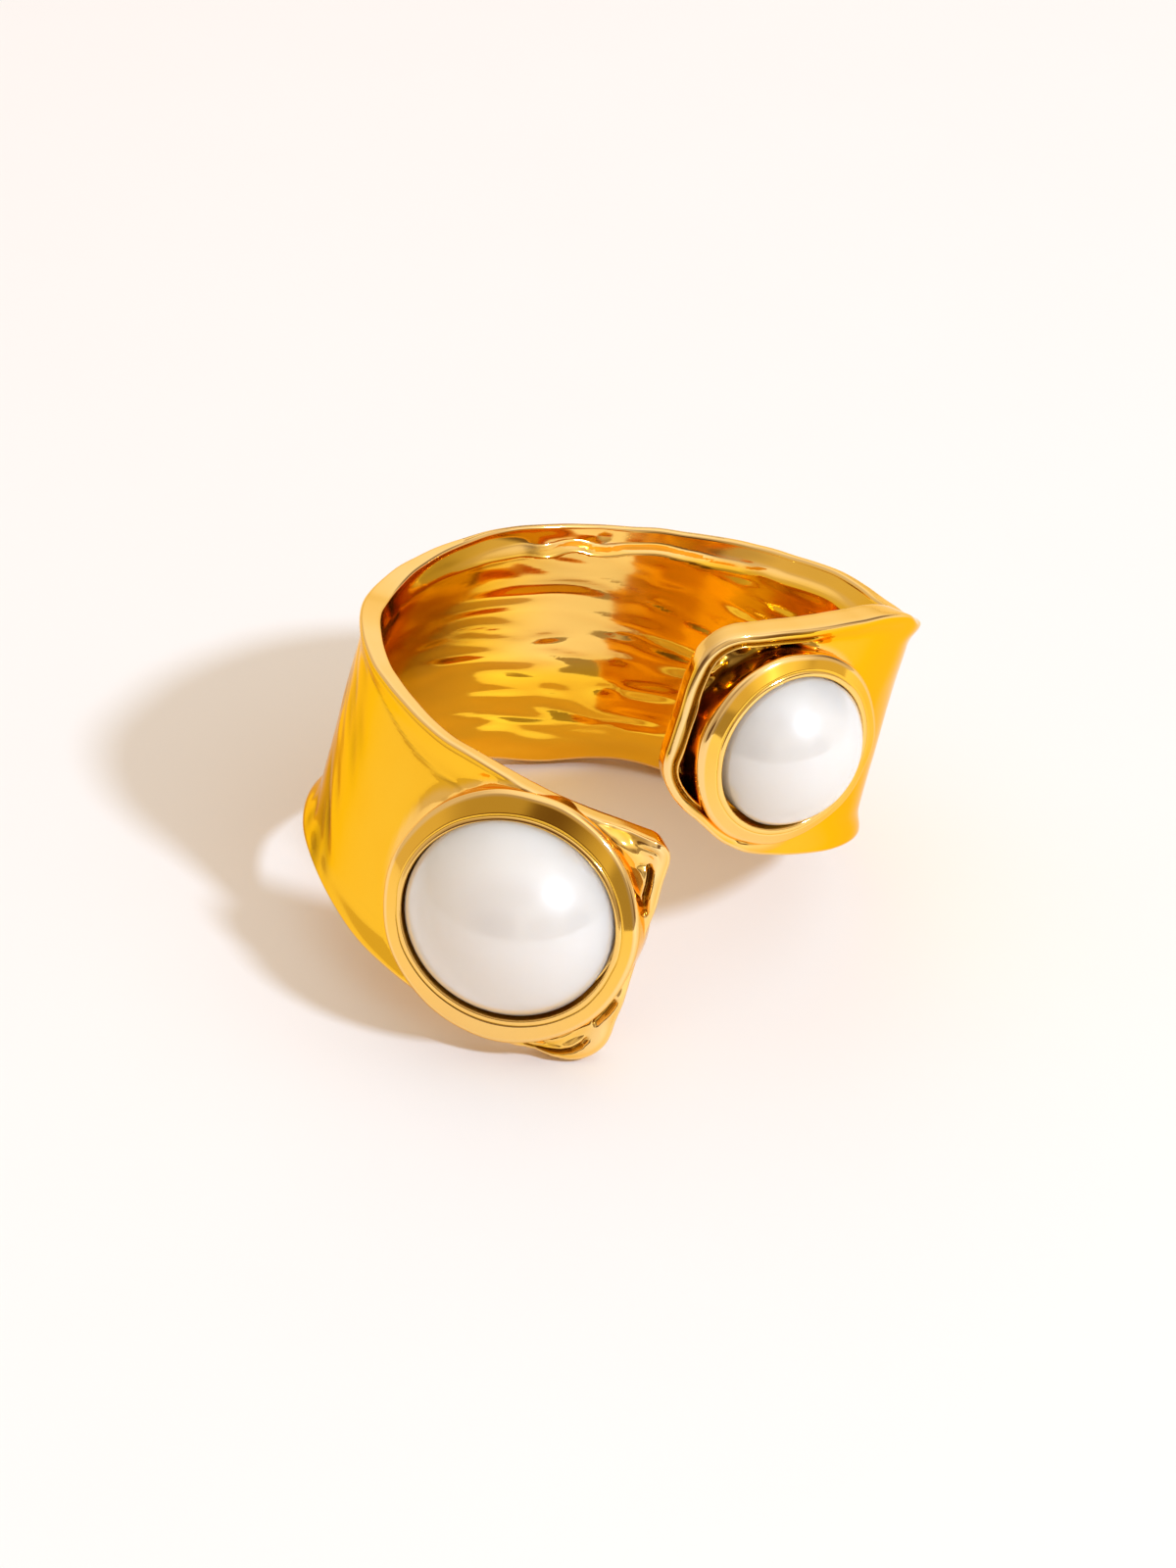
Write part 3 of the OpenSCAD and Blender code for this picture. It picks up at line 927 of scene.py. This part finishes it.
# The gold's painted highlight, its painted shade, and its tint where it is seen at a flat angle
GOLD_PAINTED_HIGHLIGHT = (1.0, 0.72, 0.36, 1)
GOLD_PAINTED_SHADE = (0.27, 0.13, 0.018, 1)
GOLD_AT_FLAT_ANGLES = (1.0, 0.74, 0.3, 1)
# Least and most roughness of the polish, and how much rougher the places with painted shade are
POLISH = (0.05, 0.12)
SHADED_ROUGHER = 0.15
# How far red, green and blue light spread inside a pearl, as shares of a depth
PEARL_SPREAD = (1.0, 0.9, 0.8)
PEARL_SPREAD_DEPTH = 4 * MM


def add(tree, kind, **values):
    """A node with its settings and the values of its inputs."""
    node = tree.nodes.new(kind)
    for key, value in values.items():
        if hasattr(node, key):
            setattr(node, key, value)
        else:
            node.inputs[key.replace("_", " ")].default_value = value
    return node


def new_material(name, **values):
    """A material with one shader and the values of the shader's inputs."""
    material = bpy.data.materials.new(name)
    material.use_nodes = True
    tree = material.node_tree
    tree.nodes.clear()
    out = add(tree, "ShaderNodeOutputMaterial")
    shader = add(tree, "ShaderNodeBsdfPrincipled", **values)
    tree.links.new(shader.outputs["BSDF"], out.inputs["Surface"])
    return material, tree, shader


def two_tones(tree, tones, scale, detail, roughness):
    """A colour that drifts between two tones over a piece, and the noise that it follows."""
    place = add(tree, "ShaderNodeTexCoord")
    noise = add(tree, "ShaderNodeTexNoise", Scale=scale, Detail=detail, Roughness=roughness)
    tree.links.new(place.outputs["Object"], noise.inputs["Vector"])
    colour = add(tree, "ShaderNodeMix", data_type="RGBA", A=tones[0], B=tones[1])
    tree.links.new(noise.outputs["Fac"], colour.inputs["Factor"])
    return colour.outputs["Result"], noise.outputs["Fac"]


def gold_material():
    """Polished gold, paled by painted highlight, and darker and rougher where it carries painted shade."""
    material, tree, shader = new_material(
        "polished_gold", Metallic=1.0, Specular_Tint=GOLD_AT_FLAT_ANGLES, Coat_Weight=0.05,
        Coat_Roughness=0.08)
    colour, noise = two_tones(tree, GOLD_TONES, scale=420.0, detail=3.0, roughness=0.55)
    painted_highlight = add(tree, "ShaderNodeAttribute", attribute_name="painted_highlight").outputs["Fac"]
    painted_shade = add(tree, "ShaderNodeAttribute", attribute_name="painted_shade").outputs["Fac"]
    # Painted highlight pales the gold, then painted shade darkens it
    for amount, tint in ((painted_highlight, GOLD_PAINTED_HIGHLIGHT), (painted_shade, GOLD_PAINTED_SHADE)):
        mix = add(tree, "ShaderNodeMix", data_type="RGBA", B=tint)
        tree.links.new(amount, mix.inputs["Factor"])
        tree.links.new(colour, mix.inputs["A"])
        colour = mix.outputs["Result"]
    tree.links.new(colour, shader.inputs["Base Color"])
    polish = add(tree, "ShaderNodeMapRange", To_Min=POLISH[0], To_Max=POLISH[1])
    tree.links.new(noise, polish.inputs["Value"])
    rougher = add(tree, "ShaderNodeMath", operation="MULTIPLY_ADD")
    rougher.inputs[1].default_value = SHADED_ROUGHER
    tree.links.new(painted_shade, rougher.inputs[0])
    tree.links.new(polish.outputs["Result"], rougher.inputs[2])
    tree.links.new(rougher.outputs["Value"], shader.inputs["Roughness"])
    return material


def pearl_material():
    """Warm white with a deep, soft body under a glossy coat."""
    material, tree, shader = new_material(
        "nacre", Subsurface_Weight=1.0, Subsurface_Radius=PEARL_SPREAD,
        Subsurface_Scale=PEARL_SPREAD_DEPTH, Roughness=0.3, IOR=1.6, Coat_Weight=1.0, Coat_IOR=1.9,
        Coat_Roughness=0.11)
    colour, _ = two_tones(tree, PEARL_TONES, scale=260.0, detail=4.0, roughness=0.5)
    tree.links.new(colour, shader.inputs["Base Color"])
    return material


def table_material():
    """A pale and plain table."""
    material, tree, shader = new_material("pale_table", Roughness=0.6)
    colour, _ = two_tones(tree, TABLE_TONES, scale=60.0, detail=4.0, roughness=0.6)
    tree.links.new(colour, shader.inputs["Base Color"])
    return material


# Table, light and camera
# Half the table's width, in metres
TABLE_HALF = 0.6
# Light of the room by direction: the plain part, and glows and dark places added to it.
# Columns: azimuth, elevation, half width in degrees, share of it that fades, red, green, blue
ROOM = (0.72, 0.625, 0.52)
GLOWS = [
    (-25, 48, 34, 1.0, 0.38, 0.42, 0.45),
    (88, 34, 48, 1.0, 0.34, 0.37, 0.40),
    (0, 88, 44, 1.0, 0.34, 0.38, 0.43),
    (-112, 26, 36, 0.6, -0.24, -0.23, -0.20),
    (-75, 54, 20, 0.8, -0.26, -0.25, -0.21),
    (45, 24, 26, 1.0, -0.54, -0.51, -0.44),
    (-24, 7, 19, 1.0, -0.54, -0.51, -0.44),
    (-102, 8, 23, 0.4, -0.36, -0.33, -0.28),
    (-58, 5, 22, 0.3, -0.32, -0.29, -0.25),
]
# The least light that comes from any direction
DARKEST = (0.03, 0.02, 0.01)
# The camera's direction and roll in degrees, and its distance in metres
VIEW_AZIMUTH, VIEW_ELEVATION, VIEW_ROLL = 7.6, 33.3, 2.6
VIEW_DISTANCE = 0.2
# The picture's height and scale, and how far right of its middle and above it the finger hole lies
PICTURE_HEIGHT_PX = 1600
PX_PER_MM = 28
HOLE_RIGHT_PX, HOLE_UP_PX = 22, 58
# The sensor's height in millimetres, and the nearest distance that is seen in metres
SENSOR_HEIGHT = 24
NEAREST_SEEN = 0.01


def make_table(material):
    """A square table under the ring."""
    mesh = bpy.data.meshes.new("table")
    corners = [(x * TABLE_HALF, y * TABLE_HALF, 0) for x, y in ((-1, -1), (1, -1), (1, 1), (-1, 1))]
    mesh.from_pydata(corners, [], [(0, 1, 2, 3)])
    mesh.materials.append(material)
    table = bpy.data.objects.new("table", mesh)
    bpy.context.scene.collection.objects.link(table)


def direction(azimuth, elevation):
    """Unit vector towards a light: azimuth from +X towards +Y, elevation from the table."""
    a, e = math.radians(azimuth), math.radians(elevation)
    return Vector((math.cos(a) * math.cos(e), math.sin(a) * math.cos(e), math.sin(e)))


def area_light(name, towards, distance, size, power, colour):
    """A round soft light that shines on the ring."""
    data = bpy.data.lights.new(name, "AREA")
    data.shape = "DISK"
    data.size = size
    data.energy = power
    data.color = colour
    light = bpy.data.objects.new(name, data)
    bpy.context.scene.collection.objects.link(light)
    light.location = towards * distance
    light.rotation_euler = towards.to_track_quat("Z", "Y").to_euler()


def add_glow(tree, towards, light, azimuth, elevation, half_width, fade, *colour):
    """The room's light with one more glow or dark place in it."""
    facing = add(tree, "ShaderNodeVectorMath", operation="DOT_PRODUCT")
    facing.inputs[1].default_value = direction(azimuth, elevation)
    tree.links.new(towards, facing.inputs[0])
    edge = add(tree, "ShaderNodeMapRange", interpolation_type="SMOOTHSTEP",
               From_Min=math.cos(math.radians(half_width)),
               From_Max=math.cos(math.radians(half_width * (1 - fade))))
    tree.links.new(facing.outputs["Value"], edge.inputs["Value"])
    glow = add(tree, "ShaderNodeVectorMath", operation="MULTIPLY_ADD")
    glow.inputs[1].default_value = colour
    tree.links.new(edge.outputs["Result"], glow.inputs[0])
    tree.links.new(light, glow.inputs[2])
    return glow.outputs["Vector"]


def make_world():
    """A plain room with its glows and dark places, nowhere darker than a least light."""
    world = bpy.data.worlds.new("room")
    bpy.context.scene.world = world
    world.use_nodes = True
    tree = world.node_tree
    towards = add(tree, "ShaderNodeTexCoord").outputs["Generated"]
    light = add(tree, "ShaderNodeCombineXYZ", X=ROOM[0], Y=ROOM[1], Z=ROOM[2]).outputs["Vector"]
    for row in GLOWS:
        light = add_glow(tree, towards, light, *row)
    floor = add(tree, "ShaderNodeVectorMath", operation="MAXIMUM")
    floor.inputs[1].default_value = DARKEST
    tree.links.new(light, floor.inputs[0])
    tree.links.new(floor.outputs["Vector"], tree.nodes["Background"].inputs["Color"])


def make_camera():
    """The photograph's view: a long lens from the front, a little to the right, looking down."""
    turn = (Matrix.Rotation(math.radians(VIEW_AZIMUTH), 4, "Z")
            @ Matrix.Rotation(math.radians(90 - VIEW_ELEVATION), 4, "X")
            @ Matrix.Rotation(math.radians(VIEW_ROLL), 4, "Z"))
    data = bpy.data.cameras.new("camera")
    data.sensor_fit = "VERTICAL"
    data.sensor_height = SENSOR_HEIGHT
    data.lens = SENSOR_HEIGHT * PX_PER_MM * VIEW_DISTANCE / MM / PICTURE_HEIGHT_PX
    data.clip_start = NEAREST_SEEN
    camera = bpy.data.objects.new("camera", data)
    off_centre = Vector((-HOLE_RIGHT_PX, -HOLE_UP_PX, 0)) * MM / PX_PER_MM
    back = Vector((0, 0, VIEW_DISTANCE))
    camera.matrix_world = Matrix.Translation(HOLE["pos_m"]) @ turn @ Matrix.Translation(off_centre + back)
    bpy.context.scene.collection.objects.link(camera)
    bpy.context.scene.camera = camera


make_camera()
gold, nacre = gold_material(), pearl_material()
make_band(gold)
make_collar("large_collar", LARGE, gold)
make_collar("small_collar", SMALL, gold)
make_pearl("large_pearl_nacre", LARGE, nacre, "large_pearl")
make_pearl("small_pearl_nacre", SMALL, nacre, "small_pearl")
make_table(table_material())
area_light("key", direction(azimuth=-30, elevation=41), distance=0.9, size=0.1, power=6.9,
           colour=(0.57, 0.735, 1.0))
make_world()
bpy.context.scene.view_settings.view_transform = "Standard"
